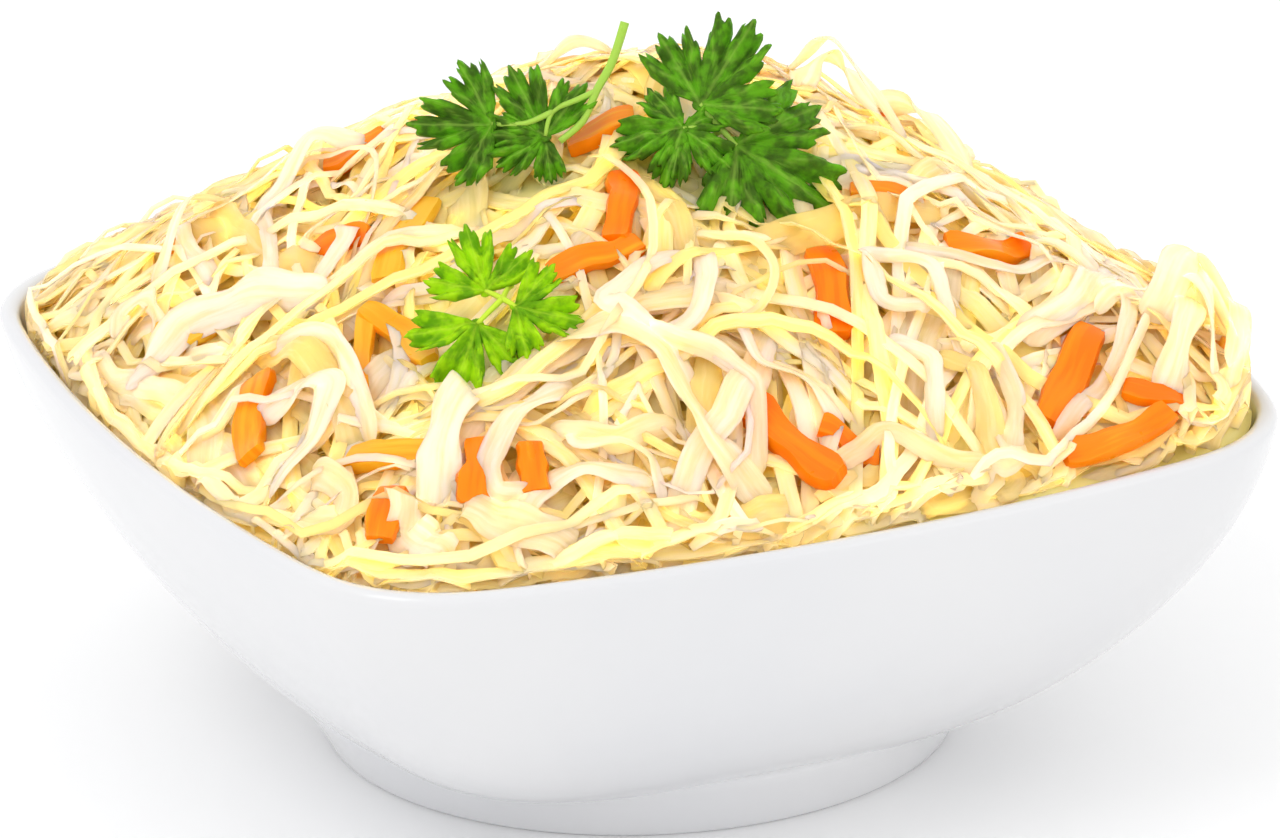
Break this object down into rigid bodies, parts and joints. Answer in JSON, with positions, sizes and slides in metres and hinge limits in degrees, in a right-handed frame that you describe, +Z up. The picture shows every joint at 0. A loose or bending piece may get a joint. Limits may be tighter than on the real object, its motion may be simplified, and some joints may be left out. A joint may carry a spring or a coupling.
{
  "type": "bowl of sauerkraut",
  "caption": "Square white porcelain bowl on a round foot ring, heaped with sauerkraut and strips of carrot and topped with sprigs of parsley.",
  "frame": {"origin": "on the table, under the middle of the bowl", "axes": "+Z up, with X and Y along the sides of the square rim; the nearest corner of the bowl, as served, is at -X -Y"},
  "size_m": [0.172, 0.172, 0.1202],
  "materials": {
    "porcelain": "smooth white glaze with soft reflections",
    "cabbage": "moist, translucent pale cream shreds",
    "carrot": "moist orange strips with a soft sheen",
    "parsley": "fresh green leaves with lighter veins"
  },
  "bodies": {
    "root": {"bowl": "porcelain", "kraut_heap": "cabbage", "parsley_left": "parsley", "parsley_right": "parsley", "parsley_front": "parsley"}
  },
  "joints": []
}
